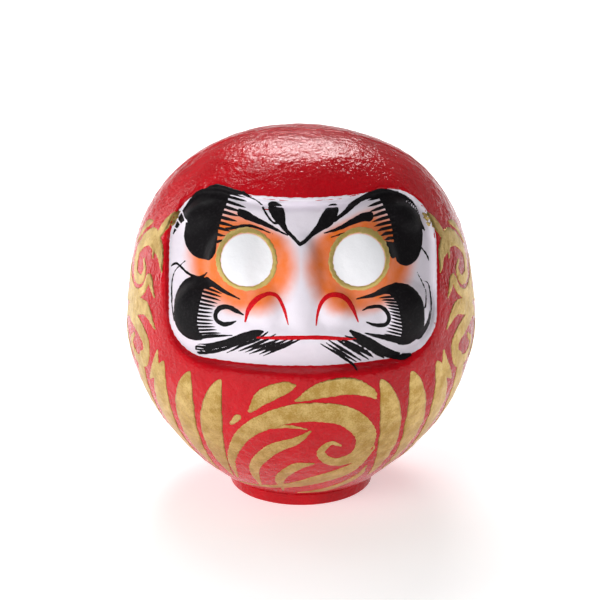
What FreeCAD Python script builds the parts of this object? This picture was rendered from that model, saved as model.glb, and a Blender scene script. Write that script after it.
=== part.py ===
"""Daruma doll: a hollow papier-mache wishing doll on a clay weight, with its hand-painted coats.

Part frame, millimetres: +Z up, the face looks along -Y, the origin is the centre of the foot's resting
face. The doll's own left is +X. The shell is a body of revolution with a window cut in its front, and
in the window lies the face, which is a set of rounded forms. Body, window and face can all be grown or
shrunk by a named thickness, so that the wall, the cavity and every coat of paint follow one shape.
"""
import FreeCAD, Part

import math
import os

import Sketcher

DIMENSIONS = {
    # body of revolution: an upper and a lower arch that meet at the equator; the lower one passes the
    # top of the foot at the foot's edge, and the tuck says how roundly it would close under there
    "body_radius": 121.0,
    "equator_height": 120.0,
    "crown_rise": 134.0,
    "belly_tuck": 1.0472,
    "belly_taper": 2.2,
    "crown_fullness": 0.661,
    "belly_fullness": 0.465,
    "paper_wall": 3.2,
    # window in the front of the body
    "window_half_width": 87.0,
    "window_bottom": 125.5,
    "window_top": 230.0,
    "window_lower_corner": 25.0,
    "window_upper_corner": 38.0,
    # the face that lies in the window
    "face_half_width": 129.0,
    "face_half_depth": 130.0,
    "face_half_height": 139.0,
    "face_setback": 20.0,
    "face_height": 128.0,
    "nose_half_width": 15.0,
    "nose_half_depth": 13.0,
    "nose_half_length": 34.0,
    "nose_forward": 96.0,
    "nose_height": 174.0,
    "nose_tilt": 14.0,
    "wing_half_width": 13.0,
    "wing_half_depth": 11.0,
    "wing_half_height": 13.0,
    "wing_spacing": 21.0,
    "wing_forward": 99.0,
    "wing_height": 162.0,
    "lip_half_width": 42.0,
    "lip_half_depth": 16.0,
    "lip_half_height": 13.0,
    "lip_forward": 96.5,
    "lip_height": 144.0,
    "cheek_half_width": 24.0,
    "cheek_half_depth": 16.0,
    "cheek_half_height": 24.0,
    "cheek_spacing": 60.0,
    "cheek_forward": 80.0,
    "cheek_height": 152.0,
    "brow_bulge_half_width": 22.0,
    "brow_bulge_half_depth": 13.0,
    "brow_bulge_half_height": 17.0,
    "brow_bulge_spacing": 56.0,
    "brow_bulge_forward": 55.0,
    "brow_bulge_height": 205.0,
    # eyes: a low dome and the gilded rim on it, both tilted back with the forehead
    "eye_spacing": 35.8,
    "eye_forward": 83.0,
    "eye_height": 188.0,
    "eye_tilt": 26.0,
    "eye_dome_radius": 25.0,
    "eye_dome_depth": 12.0,
    "eye_white_radius": 16.7,
    "eye_rim_width": 2.9,
    # cut where the paper was taken off its wooden former, and the strip pasted over it
    "seam_setback": 12.0,
    "seam_paper_width": 14.0,
    "seam_paper_thickness": 0.4,
    # clay weight: the foot, the plug in the shell's opening, which is set in from the foot's edge,
    # and the dome inside
    "foot_radius": 50.5,
    "foot_height": 9.0,
    "opening_inset": 6.5,
    "plug_clearance": 0.3,
    "plug_height": 8.0,
    "weight_rise": 14.0,
    # paper disc pasted in a recess under the foot
    "recess_inset": 11.5,
    "recess_depth": 0.9,
    "base_paper_clearance": 0.5,
    "base_paper_thickness": 0.4,
    # thicknesses of the coats
    "face_coat": 0.4,
    "ink_coat": 0.3,
    "gold_coat": 0.3,
    "coat_margin": 1.5,
    # black brush marks: half length, half breadth, place, and slope of the left one against +X
    "brow_half_length": 21.5,
    "brow_half_breadth": 11.0,
    "brow_spacing": 61.5,
    "brow_height": 206.5,
    "brow_slope": -71.0,
    "frown_half_length": 11.0,
    "frown_half_breadth": 2.8,
    "frown_spacing": 10.5,
    "frown_height": 212.5,
    "frown_slope": 50.0,
    "beard_half_length": 19.0,
    "beard_half_breadth": 9.5,
    "beard_spacing": 73.5,
    "beard_height": 156.5,
    "beard_slope": 82.0,
    "moustache_half_length": 22.0,
    "moustache_half_breadth": 3.2,
    "moustache_spacing": 45.0,
    "moustache_height": 141.0,
    "moustache_slope": -18.0,
    # red brush lines
    "mouth_half_length": 21.0,
    "mouth_half_breadth": 0.9,
    "mouth_height": 145.5,
    "nostril_spacing": 21.5,
    "nostril_half_width": 13.4,
    "nostril_rise": 17.5,
    "nostril_foot": 155.5,
    "nostril_line": 1.4,
    # gilded folds of the robe, painted on the flanks
    "fold_first_angle": 32.0,
    "fold_pitch": 12.0,
    "fold_height": 70.0,
    "fold_half_length": 45.0,
    "fold_half_breadth": 8.5,
    # gilded wave on the belly and clouds on the sides
    "wave_height": 66.0,
    "wave_outer_radius": 44.0,
    "wave_inner_radius": 30.0,
    "wave_eye_radius": 14.0,
    "cloud_angle": 70.0,
    "cloud_height": 125.0,
    "cloud_pitch": 33.0,
    "cloud_half_length": 26.0,
    "cloud_half_breadth": 14.0,
}
FOLDS_PER_SIDE = 4
CLOUDS_PER_SIDE = 3
REACH = 200.0  # longer than the doll in every direction, for cutting tools and prisms
SIDES = {"left": 1, "right": -1}
OPENING_RADIUS = "(foot_radius - opening_inset)"
RECESS_RADIUS = "(foot_radius - recess_inset)"
# Depth of the lower arch, so that the body narrows to the foot's edge whatever the two radii are
BELLY = (
    "((equator_height - foot_height)"
    " * (1 + belly_tuck * (foot_radius / body_radius) ^ belly_taper))"
)

doc = FreeCAD.newDocument("Daruma")
sheet = doc.addObject("Spreadsheet::Sheet", "Dims")
for row, (alias, number) in enumerate(DIMENSIONS.items(), start=1):
    sheet.set(f"A{row}", alias)
    sheet.set(f"B{row}", str(number))
    sheet.setAlias(f"B{row}", alias)
doc.recompute()


# Bindings to the sheet


def on_sheet(text):
    """The same expression with every alias in it looked up on the sheet."""
    words = text.replace("(", "( ").replace(")", " )").split()
    return " ".join(f"Dims.{word}" if word in DIMENSIONS else word for word in words)


def bind(item, **expressions):
    """Ties properties to expressions. Two underscores in a name stand for a dot."""
    for name, text in expressions.items():
        item.setExpression(name.replace("__", "."), on_sheet(text))
    return item


def place(item, x="0", y="0", z="0"):
    return bind(item, Placement__Base__x=x, Placement__Base__y=y, Placement__Base__z=z)


def turn(item, axis, angle):
    """Turns an object about an axis through its own base point, by an expression in degrees."""
    item.Placement = FreeCAD.Placement(item.Placement.Base, FreeCAD.Rotation(axis, 1))
    return bind(item, Placement__Rotation__Angle=angle)


# Solids and booleans


def block(name, low, high):
    """A box between two corners, each corner three expressions."""
    box = doc.addObject("Part::Box", name)
    place(box, *low)
    spans = [f"({top}) - ({bottom})" for bottom, top in zip(low, high)]
    return bind(box, Length=spans[0], Width=spans[1], Height=spans[2])


def ellipsoid(name, half_width, half_depth, half_height, x, y, z):
    item = doc.addObject("Part::Ellipsoid", name)
    item.Angle1 = -90
    bind(item, Radius1=half_height, Radius2=half_width, Radius3=half_depth)
    return place(item, x, y, z)


def combine(kind, name, base, tool):
    """The Part::Cut, Part::Fuse or Part::Common of two objects."""
    item = doc.addObject(f"Part::{kind}", name)
    item.Base = base
    item.Tool = tool
    return item


def fuse(name, items):
    item = doc.addObject("Part::MultiFuse", name)
    item.Shapes = items
    return item


# Sketches


def new_sketch(body, name):
    """A sketch on the body's own XZ plane: its axes are X and Z."""
    plane = next(item for item in body.Origin.OriginFeatures if item.Role == "XZ_Plane")
    sketch = body.newObject("Sketcher::SketchObject", name)
    sketch.AttachmentSupport = [(plane, "")]
    sketch.MapMode = "FlatFace"
    return sketch


def hold(sketch, geometry, point, x=None, z=None):
    """Holds a point of the sketch at expressions for its X, its Z or both, starting from where it is."""
    place_now = sketch.getPoint(geometry, point)
    for axis, text, now in (("X", x, place_now.x), ("Y", z, place_now.y)):
        if text is not None:
            index = sketch.addConstraint(
                Sketcher.Constraint(f"Distance{axis}", -1, 1, geometry, point, now)
            )
            sketch.setExpression(f"Constraints[{index}]", on_sheet(text))


def size_arc(sketch, geometry, radius):
    index = sketch.addConstraint(Sketcher.Constraint("Radius", geometry, sketch.Geometry[geometry].Radius))
    sketch.setExpression(f"Constraints[{index}]", on_sheet(radius))


def revolve(body, sketch):
    """Turns the sketch about its vertical axis into the body's solid."""
    feature = body.newObject("PartDesign::Revolution", body.Name + "_turned")
    feature.Profile = sketch
    feature.ReferenceAxis = (sketch, ["V_Axis"])
    feature.Angle = 360
    return body


def starting_poles():
    """Poles of the ungrown body's two arches, as numbers for its sketch to start from."""
    size = DIMENSIONS
    radius, middle, crown = size["body_radius"], size["equator_height"], size["crown_rise"]
    narrowing = (size["foot_radius"] / radius) ** size["belly_taper"]
    belly = (middle - size["foot_height"]) * (1 + size["belly_tuck"] * narrowing)
    upper, lower = size["crown_fullness"], size["belly_fullness"]
    return [
        (0, middle + crown),
        (radius * upper, middle + crown),
        (radius, middle + crown * upper),
        (radius, middle),
        (radius, middle - belly * lower),
        (radius * lower, middle - belly),
        (0, middle - belly),
    ]


def body_form(name, growth):
    """The egg-shaped body of revolution, grown outwards by an expression."""
    radius = f"(body_radius + {growth})"
    crown = f"(crown_rise + {growth})"
    belly = f"({BELLY} + {growth})"
    poles = [
        ("0", f"equator_height + {crown}"),
        (f"{radius} * crown_fullness", f"equator_height + {crown}"),
        (radius, f"equator_height + {crown} * crown_fullness"),
        (radius, "equator_height"),
        (radius, f"equator_height - {belly} * belly_fullness"),
        (f"{radius} * belly_fullness", f"equator_height - {belly}"),
        ("0", f"equator_height - {belly}"),
    ]
    start = starting_poles()
    top, bottom = start[0][1], start[-1][1]
    body = doc.addObject("PartDesign::Body", name)
    sketch = new_sketch(body, name + "_profile")
    for arch in (start[:4], start[3:]):
        curve = Part.BezierCurve()
        curve.setPoles([FreeCAD.Vector(x, z, 0) for x, z in arch])
        sketch.addGeometry(curve.toBSpline(), False)
    axis = sketch.addGeometry(
        Part.LineSegment(FreeCAD.Vector(0, bottom, 0), FreeCAD.Vector(0, top, 0)), False
    )
    for arch, first in ((0, 0), (1, 3)):
        circles = sketch.GeometryCount
        sketch.exposeInternalGeometry(arch)
        for offset in range(4):
            if arch == 1 and offset == 0:
                continue
            hold(sketch, circles + offset, 3, *poles[first + offset])
    sketch.addConstraint(Sketcher.Constraint("Coincident", 0, 2, 1, 1))
    sketch.addConstraint(Sketcher.Constraint("Coincident", 1, 2, axis, 1))
    sketch.addConstraint(Sketcher.Constraint("Coincident", axis, 2, 0, 1))
    return revolve(body, sketch)


def window_prism(name, growth):
    """The window, from the doll's middle plane forwards. Growth closes it, as a thicker wall would."""
    size = DIMENSIONS
    half, bottom, top = size["window_half_width"], size["window_bottom"], size["window_top"]
    low, high = size["window_lower_corner"], size["window_upper_corner"]
    body = doc.addObject("PartDesign::Body", name)
    sketch = new_sketch(body, name + "_outline")
    corners = [(-half, bottom, low), (half, bottom, low), (half, top, high), (-half, top, high)]
    starts = [180, 270, 0, 90]
    for (x, z, corner), start in zip(corners, starts):
        inwards = -math.copysign(corner, x)
        upwards = -corner if z == top else corner
        circle = Part.Circle(FreeCAD.Vector(x + inwards, z + upwards, 0), FreeCAD.Vector(0, 0, 1), corner)
        quarter = Part.ArcOfCircle(circle, math.radians(start), math.radians(start + 90))
        sketch.addGeometry(quarter, False)
    for arc in range(4):
        ahead = (arc + 1) % 4
        ends = [sketch.getPoint(arc, 2), sketch.getPoint(ahead, 1)]
        line = sketch.addGeometry(Part.LineSegment(*ends), False)
        sketch.addConstraint(Sketcher.Constraint("Tangent", arc, 2, line, 1))
        sketch.addConstraint(Sketcher.Constraint("Tangent", line, 2, ahead, 1))
        sketch.addConstraint(Sketcher.Constraint("Horizontal" if arc % 2 == 0 else "Vertical", line))
    hold(sketch, 4, 1, z=f"window_bottom + {growth}")
    hold(sketch, 5, 1, x=f"window_half_width - ({growth})")
    hold(sketch, 6, 1, z=f"window_top - ({growth})")
    hold(sketch, 7, 1, x=f"0 - window_half_width + {growth}")
    for arc, corner in enumerate(("lower", "lower", "upper", "upper")):
        size_arc(sketch, arc, f"window_{corner}_corner - ({growth})")
    pad = body.newObject("PartDesign::Pad", name + "_pad")
    pad.Profile = sketch
    pad.Length = REACH
    return body


def face_form(name, growth):
    """Face, nose, lips, cheeks, brow bulges and eye domes as one solid, grown by an expression."""

    def bulge(kind, side=None):
        label = f"{name}_{kind}" if side is None else f"{name}_{kind}_{side}"
        across = "0" if side is None else f"{SIDES[side]} * {kind}_spacing"
        halves = [f"{kind}_half_{way} + {growth}" for way in ("width", "depth", "height")]
        return ellipsoid(label, *halves, across, f"0 - {kind}_forward", f"{kind}_height")

    face_halves = [f"face_half_{way} + {growth}" for way in ("width", "depth", "height")]
    nose_halves = [f"nose_half_{way} + {growth}" for way in ("width", "depth", "length")]
    parts = [
        ellipsoid(name + "_plain", *face_halves, "0", "face_setback", "face_height"),
        turn(
            ellipsoid(name + "_nose", *nose_halves, "0", "0 - nose_forward", "nose_height"),
            FreeCAD.Vector(-1, 0, 0),
            "nose_tilt",
        ),
        bulge("lip"),
    ]
    for side in SIDES:
        parts += [bulge(kind, side) for kind in ("wing", "cheek", "brow_bulge")]
        dome = ellipsoid(
            f"{name}_eye_{side}",
            f"eye_dome_radius + {growth}",
            f"eye_dome_depth + {growth}",
            f"eye_dome_radius + {growth}",
            f"{SIDES[side]} * eye_spacing",
            "0 - eye_forward",
            "eye_height",
        )
        parts.append(turn(dome, FreeCAD.Vector(-1, 0, 0), "eye_tilt"))
    return fuse(name, parts)


def hollowed_form(name, growth):
    """The doll's whole outer form, grown by an expression: the body with its face in the window."""
    recess = combine("Cut", name + "_recess", window_prism(name + "_window", growth),
                     face_form(name + "_face", growth))
    return combine("Cut", name, body_form(name + "_body", growth), recess)


def slab_above_foot(name, y_low, y_high):
    """Everything above the foot between two upright planes across the doll."""
    reach = str(REACH)
    return block(name, (f"0 - {reach}", y_low, "foot_height"), (reach, y_high, f"2 * {reach}"))


def disc(name, radius, bottom, top):
    item = doc.addObject("Part::Cylinder", name)
    place(item, z=bottom)
    return bind(item, Radius=radius, Height=f"({top}) - ({bottom})")


# Paper shell, cut in two where it was taken off its former


def make_shells():
    """Front and back halves of the paper shell, open at the bottom for the weight's plug."""
    outer = hollowed_form("outer_form", "0")
    cavity = hollowed_form("cavity", "0 - paper_wall")
    walls = combine("Cut", "paper_walls", outer, cavity)
    opening = disc("opening", OPENING_RADIUS, "0", "2 * foot_height")
    reach = str(REACH)
    halves = {"front_shell": (f"0 - {reach}", "seam_setback"), "back_shell": ("seam_setback", reach)}
    for name, planes in halves.items():
        half = combine("Common", name + "_uncut", walls, slab_above_foot(name + "_side", *planes))
        pieces[name] = combine("Cut", name, half, opening)


def make_seam_paper():
    """A strip of paper pasted over the joint of the two shells, from foot to foot over the crown."""
    skin = combine("Cut", "seam_skin", body_form("seam_outside", "seam_paper_thickness"),
                   body_form("seam_inside", "0"))
    strip = slab_above_foot("seam_strip", "seam_setback - seam_paper_width / 2",
                            "seam_setback + seam_paper_width / 2")
    pieces["seam_paper"] = combine("Common", "seam_paper", skin, strip)


# Weight


def make_base_weight():
    """Clay foot, plug and dome, turned as one, with a shallow recess under the foot."""
    size = DIMENSIONS
    foot = size["foot_radius"]
    recess, plug = foot - size["recess_inset"], foot - size["opening_inset"] - size["plug_clearance"]
    plug_top = size["foot_height"] + size["plug_height"]
    crown = plug_top + size["weight_rise"]
    plug_radius = f"{OPENING_RADIUS} - plug_clearance"
    corners = [
        (0, size["recess_depth"], "0", "recess_depth"),
        (recess, size["recess_depth"], RECESS_RADIUS, "recess_depth"),
        (recess, 0, RECESS_RADIUS, "0"),
        (foot, 0, "foot_radius", "0"),
        (foot, size["foot_height"], "foot_radius", "foot_height"),
        (plug, size["foot_height"], plug_radius, "foot_height"),
        (plug, plug_top, plug_radius, "foot_height + plug_height"),
        (0, crown, "0", "foot_height + plug_height + weight_rise"),
    ]
    body = doc.addObject("PartDesign::Body", "base_weight")
    sketch = new_sketch(body, "base_weight_profile")
    points = [FreeCAD.Vector(x, z, 0) for x, z, _, _ in corners]
    for start, end in zip(points[:6], points[1:7]):
        sketch.addGeometry(Part.LineSegment(start, end), False)
    dome_radius = (plug ** 2 + size["weight_rise"] ** 2) / (2 * size["weight_rise"])
    halfway = crown - dome_radius + math.sqrt(dome_radius ** 2 - (plug / 2) ** 2)
    dome = sketch.addGeometry(Part.Arc(points[6], FreeCAD.Vector(plug / 2, halfway, 0), points[7]), False)
    axis = sketch.addGeometry(Part.LineSegment(points[7], points[0]), False)
    for line in range(6):
        hold(sketch, line, 1, *corners[line][2:])
    hold(sketch, 5, 2, *corners[6][2:])
    hold(sketch, axis, 1, *corners[7][2:])
    for line in range(5):
        sketch.addConstraint(Sketcher.Constraint("Coincident", line, 2, line + 1, 1))
    ends = [sketch.getPoint(dome, end) for end in (1, 2)]
    outer_end = 1 if ends[0].x > ends[1].x else 2
    sketch.addConstraint(Sketcher.Constraint("Coincident", 5, 2, dome, outer_end))
    sketch.addConstraint(Sketcher.Constraint("Coincident", dome, 3 - outer_end, axis, 1))
    sketch.addConstraint(Sketcher.Constraint("Coincident", axis, 2, 0, 1))
    sketch.addConstraint(Sketcher.Constraint("PointOnObject", dome, 3, -2))
    pieces["base_weight"] = revolve(body, sketch)


def make_base_paper():
    """A paper disc pasted under the foot, thinner than its recess, so the clay carries the doll."""
    pieces["base_paper"] = disc(
        "base_paper",
        f"{RECESS_RADIUS} - base_paper_clearance",
        "recess_depth - base_paper_thickness",
        "recess_depth",
    )


# Coats on the face


def brush_mark(name, half_length, half_breadth, x="0", z="0", slope="0", upright=False):
    """An elliptical mark as a prism from the middle plane forwards. Slope is in degrees against +X."""
    outline = doc.addObject("Part::Ellipse", name + "_outline")
    bind(outline, MajorRadius=half_length, MinorRadius=half_breadth)
    facing = FreeCAD.Rotation(FreeCAD.Vector(1, 0, 0), 90)
    rolled = FreeCAD.Rotation(FreeCAD.Vector(0, 0, 1), 90 if upright else 0)
    outline.Placement = FreeCAD.Placement(FreeCAD.Vector(), facing * rolled)
    prism = doc.addObject("Part::Extrusion", name)
    prism.Base = outline
    prism.DirMode = "Custom"
    prism.Dir = FreeCAD.Vector(0, -1, 0)
    prism.LengthFwd = REACH
    prism.Solid = True
    return turn(place(prism, x=x, z=z), FreeCAD.Vector(0, -1, 0), slope)


def face_layer(name, inner, outer):
    """The layer between two growths of the face, kept clear of the window's own edge."""
    levels = combine("Cut", name + "_levels", face_form(name + "_outside", outer),
                     face_form(name + "_inside", inner))
    return combine("Common", name, window_prism(name + "_window", "coat_margin"), levels)


def make_face_coat():
    """The white ground of the face."""
    pieces["face_coat"] = face_layer("face_coat", "0", "face_coat")


def make_black_strokes(layer, rim_tubes):
    """Brows with their frown strokes, cut back round the eye rims, and beards with their moustaches."""
    for side, sign in SIDES.items():
        for node, kinds in {"brow": ("brow", "frown"), "beard": ("beard", "moustache")}.items():
            marks = [
                brush_mark(
                    f"{kind}_{side}_mark",
                    f"{kind}_half_length",
                    f"{kind}_half_breadth",
                    x=f"{sign} * {kind}_spacing",
                    z=f"{kind}_height",
                    slope=f"{sign} * {kind}_slope",
                )
                for kind in kinds
            ]
            name = f"{node}_{side}"
            marks = fuse(name + "_marks", marks)
            if node == "brow":
                inked = combine("Common", name + "_inked", marks, layer)
                pieces[name] = combine("Cut", name, inked, rim_tubes[side])
            else:
                pieces[name] = combine("Common", name, marks, layer)


def make_eye_rims(layer):
    """Gilded rims round the two blank eyes. Returns the tube that each rim's outside was cut with."""
    tubes = {}
    for side, sign in SIDES.items():
        rings = []
        for edge, radius in {
            "outside": "eye_white_radius + eye_rim_width",
            "inside": "eye_white_radius",
        }.items():
            tube = doc.addObject("Part::Cylinder", f"eye_rim_{side}_{edge}")
            bind(tube, Radius=radius, Height=str(REACH))
            place(tube, f"{sign} * eye_spacing", "0 - eye_forward", "eye_height")
            rings.append(turn(tube, FreeCAD.Vector(1, 0, 0), "90 - eye_tilt"))
        name = f"eye_rim_{side}"
        pieces[name] = combine("Common", name, combine("Cut", name + "_tube", *rings), layer)
        tubes[side] = rings[0]
    return tubes


def make_red_lines(layer):
    """The mouth, one flat line, and an arch over each nostril."""
    mouth = brush_mark("mouth_mark", "mouth_half_length", "mouth_half_breadth", z="mouth_height")
    pieces["mouth_line"] = combine("Common", "mouth_line", mouth, layer)
    reach = str(REACH)
    for side, sign in SIDES.items():
        across = f"{sign} * nostril_spacing"
        outside = brush_mark(f"nostril_{side}_outside", "nostril_rise", "nostril_half_width",
                             x=across, z="nostril_foot", slope="90")
        inside = brush_mark(f"nostril_{side}_inside", "nostril_rise - nostril_line",
                            "nostril_half_width - nostril_line", x=across, z="nostril_foot", slope="90")
        above = block(f"nostril_{side}_above", (f"0 - {reach}", f"0 - {reach}", "nostril_foot"),
                      (reach, "0", reach + " + nostril_foot"))
        name = f"nostril_line_{side}"
        ring = combine("Cut", name + "_ring", outside, inside)
        arch = combine("Common", name + "_arch", ring, above)
        pieces[name] = combine("Common", name, arch, layer)


# Gilding on the body


def make_gilding():
    """Robe folds on the flanks, a wave on the belly and a pile of clouds on each side."""
    layer = combine("Cut", "gold_layer", body_form("gold_outside", "gold_coat"),
                    body_form("gold_inside", "0"))
    vertical = FreeCAD.Vector(0, 0, 1)
    for side, sign in SIDES.items():
        folds = []
        for number in range(FOLDS_PER_SIDE):
            fold = brush_mark(f"fold_{side}_{number + 1}", "fold_half_length", "fold_half_breadth",
                              z="fold_height", upright=True)
            folds.append(turn(fold, vertical, f"{sign} * (fold_first_angle + {number} * fold_pitch)"))
        name = f"robe_folds_{side}"
        pieces[name] = combine("Common", name, fuse(name + "_marks", folds), layer)
        clouds = []
        for number in range(CLOUDS_PER_SIDE):
            cloud = brush_mark(f"cloud_{side}_{number + 1}", "cloud_half_length", "cloud_half_breadth",
                               z=f"cloud_height + {number} * cloud_pitch")
            clouds.append(turn(cloud, vertical, f"{sign} * cloud_angle"))
        name = f"side_clouds_{side}"
        pieces[name] = combine("Common", name, fuse(name + "_marks", clouds), layer)
    ring = combine(
        "Cut",
        "wave_ring",
        brush_mark("wave_outside", "wave_outer_radius", "wave_outer_radius", z="wave_height"),
        brush_mark("wave_inside", "wave_inner_radius", "wave_inner_radius", z="wave_height"),
    )
    eye = brush_mark("wave_eye", "wave_eye_radius", "wave_eye_radius", z="wave_height")
    wave = fuse("belly_wave_marks", [ring, eye])
    pieces["belly_wave"] = combine("Common", "belly_wave", wave, layer)


# The doll


pieces = {}
make_shells()
make_seam_paper()
make_base_weight()
make_base_paper()
make_face_coat()
ink_layer = face_layer("ink_layer", "face_coat", "face_coat + ink_coat")
eye_tubes = make_eye_rims(ink_layer)
make_black_strokes(ink_layer, eye_tubes)
make_red_lines(ink_layer)
make_gilding()
for name, piece in pieces.items():
    piece.Label = name
doc.recompute()

failed = [item.Name for item in doc.Objects if {"Invalid", "Error"} & set(item.State)]
failed += [name for name, piece in pieces.items()
           if piece.Shape.isNull() or not piece.Shape.isValid() or not piece.Shape.Solids]
if failed:
    raise RuntimeError("these did not become valid solids: " + ", ".join(failed))

os.makedirs("parts", exist_ok=True)
for name, piece in pieces.items():
    piece.Shape.exportStep(f"parts/{name}.step")
    print(f"{name}: {len(piece.Shape.Solids)} solid(s), {piece.Shape.Volume / 1000:.2f} cm3")
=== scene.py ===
"""Daruma doll: crumpled paper shell, lacquer, gold leaf and brushwork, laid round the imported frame.

Metres, +Z up, the face looks along -Y and the doll's own left is +X. The shell is an even mesh over its
two CAD halves, softened at the hood's rim and crumpled. Every coat is a thin closed film thrown on it.
"""

import math

import bmesh
import bpy
import numpy as np
from bpy.props import FloatProperty, FloatVectorProperty, IntProperty, PointerProperty
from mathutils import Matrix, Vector, noise
from mathutils.bvhtree import BVHTree


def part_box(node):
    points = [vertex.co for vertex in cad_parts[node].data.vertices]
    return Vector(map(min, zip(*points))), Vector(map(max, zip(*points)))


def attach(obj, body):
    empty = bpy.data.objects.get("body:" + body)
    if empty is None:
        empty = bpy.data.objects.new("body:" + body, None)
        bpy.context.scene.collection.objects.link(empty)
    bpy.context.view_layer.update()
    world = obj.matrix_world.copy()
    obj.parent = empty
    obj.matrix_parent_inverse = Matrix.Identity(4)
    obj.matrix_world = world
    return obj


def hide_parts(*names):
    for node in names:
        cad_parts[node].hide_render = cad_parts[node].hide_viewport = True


bl_info = {
    "name": "Daruma Doll",
    "version": (1, 0, 0),
    "blender": (4, 5, 0),
    "location": "View3D > Sidebar > Daruma",
    "description": "Finishes a papier-mache wishing doll round its CAD frame",
    "category": "Add Mesh",
}

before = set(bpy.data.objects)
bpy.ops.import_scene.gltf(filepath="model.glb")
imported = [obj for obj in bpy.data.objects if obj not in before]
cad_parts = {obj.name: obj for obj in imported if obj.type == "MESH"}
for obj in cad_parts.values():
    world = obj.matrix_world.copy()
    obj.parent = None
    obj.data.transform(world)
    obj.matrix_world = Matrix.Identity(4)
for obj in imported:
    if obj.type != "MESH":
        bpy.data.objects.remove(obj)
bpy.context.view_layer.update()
MM = 0.001
SIDES = {"left": 1, "right": -1}

# Places read from the frame
SHELL_NODES = ("front_shell", "back_shell")
SEAM_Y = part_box("front_shell")[1].y
SHELL_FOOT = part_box("front_shell")[0].z
BODY_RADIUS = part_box("back_shell")[1].x
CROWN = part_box("front_shell")[1].z
FOOT_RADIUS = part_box("base_weight")[1].x
WEIGHT_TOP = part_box("base_weight")[1].z
FACE_LOW, FACE_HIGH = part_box("face_coat")
BASE_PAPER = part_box("base_paper")
MIDDLE = (SHELL_FOOT + CROWN) / 2


# Settings that a user would change


def length(name, description, millimetres, low=0.0):
    return FloatProperty(
        name=name, description=description, default=millimetres * MM, min=low * MM, unit="LENGTH"
    )


def tint(name, description, colour):
    return FloatVectorProperty(
        name=name, description=description, default=colour, size=3, min=0.0, max=1.0, subtype="COLOR"
    )


class DollPaper(bpy.types.PropertyGroup):
    grid: length("Mesh size", "Edge length of the even mesh over the shell", 1.55, 1.0)
    softness: IntProperty(name="Softness", description="Smoothing passes in and round the window", default=16)
    wobble: length("Wobble", "Height of the hand-made unevenness of the whole form", 0.9)
    crumple: length("Crumple", "Height of the wrinkles of the pasted paper", 0.5)
    droop: length("Hood droop", "How far the hood hangs down at the middle of the window", 4.4)
    sunk: length("Sunk", "How far the crumpled skin lies inside the form it was moulded on", 0.65)
    crumple_size: length("Crumple size", "Width of one wrinkle of the pasted paper", 8.0, 1.0)
    strip_width: length("Strip width", "Width of the paper strip pasted over the seam", 14.0)
    strip: length("Strip thickness", "How far the pasted strip stands proud", 0.3)


class DollCoats(bpy.types.PropertyGroup):
    step: length("Outline step", "Grid step that the painted outlines are traced on", 0.55, 0.2)
    ground: length("Ground", "Thickness of the white ground", 0.35)
    ink: length("Ink", "Thickness of the black and red strokes", 0.22)
    leaf: length("Leaf", "Thickness of the gold leaf and gold paint", 0.3)
    hair: length("Hair", "How far one hair of a brow or beard stands proud", 0.42)
    rim: length("Eye rim", "Half the width of the gilded rim round an eye", 1.45)


class DollColours(bpy.types.PropertyGroup):
    lacquer: tint("Lacquer", "Red lacquer", (0.56, 0.004, 0.011))
    white: tint("White", "White ground of the face", (0.84, 0.78, 0.86))
    eye_white: tint("Eye white", "White of the blank eyes", (0.93, 0.93, 0.96))
    orange: tint("Orange", "Airbrush round the eyes", (0.86, 0.175, 0.02))
    ink: tint("Ink", "Black brush paint", (0.007, 0.006, 0.007))
    red_line: tint("Red line", "Red brush paint of mouth and nostrils", (0.56, 0.004, 0.010))
    gold: tint("Gold", "Gold leaf", (0.41, 0.25, 0.06))
    pale_gold: tint("Pale gold", "Lighter flakes in the leaf", (0.66, 0.48, 0.19))
    rim_gold: tint("Rim gold", "Gold paint round the eyes", (0.58, 0.44, 0.10))
    paper: tint("Paper", "Plain paper under the foot", (0.66, 0.57, 0.42))


class DollStage(bpy.types.PropertyGroup):
    distance: length("Camera distance", "From the doll's middle to the camera", 1300)
    target: length("Target height", "Height of the doll's middle", 130)
    aim: length("Aim height", "Height of the point that the camera looks at", 133.2)
    tilt: FloatProperty(
        name="Camera elevation", description="Elevation", default=math.radians(19.14), subtype="ANGLE"
    )
    lens: FloatProperty(name="Lens", description="Focal length in millimetres", default=112.26)
    glow: FloatProperty(name="Room light", description="Strength of the light from all round", default=0.09)


GROUPS = {
    "daruma_paper": DollPaper,
    "daruma_coats": DollCoats,
    "daruma_colours": DollColours,
    "daruma_stage": DollStage,
}


def settings(group):
    return getattr(bpy.context.scene, "daruma_" + group)


# Node trees


class Wire:
    """A node's output that works in Python expressions: every operator adds its Math node."""

    def __init__(self, tree, socket):
        self.tree = tree
        self.socket = socket

    def math(self, operation, *others):
        return self.tree.node("ShaderNodeMath", {"operation": operation}, self, *others)

    def __add__(self, other):
        return self.math("ADD", other)

    def __sub__(self, other):
        return self.math("SUBTRACT", other)

    def __rsub__(self, other):
        return self.tree.node("ShaderNodeMath", {"operation": "SUBTRACT"}, other, self)

    def __mul__(self, other):
        return self.math("MULTIPLY", other)

    def __truediv__(self, other):
        return self.math("DIVIDE", other)

    def __pow__(self, other):
        return self.math("POWER", other)

    def __abs__(self):
        return self.math("ABSOLUTE")

    __radd__ = __add__
    __rmul__ = __mul__

    def ramp(self, low, high, start=0.0, end=1.0):
        """Goes smoothly from start to end while this goes from low to high."""
        options = {"interpolation_type": "SMOOTHSTEP"}
        return self.tree.node("ShaderNodeMapRange", options, self, low, high, start, end)


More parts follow.
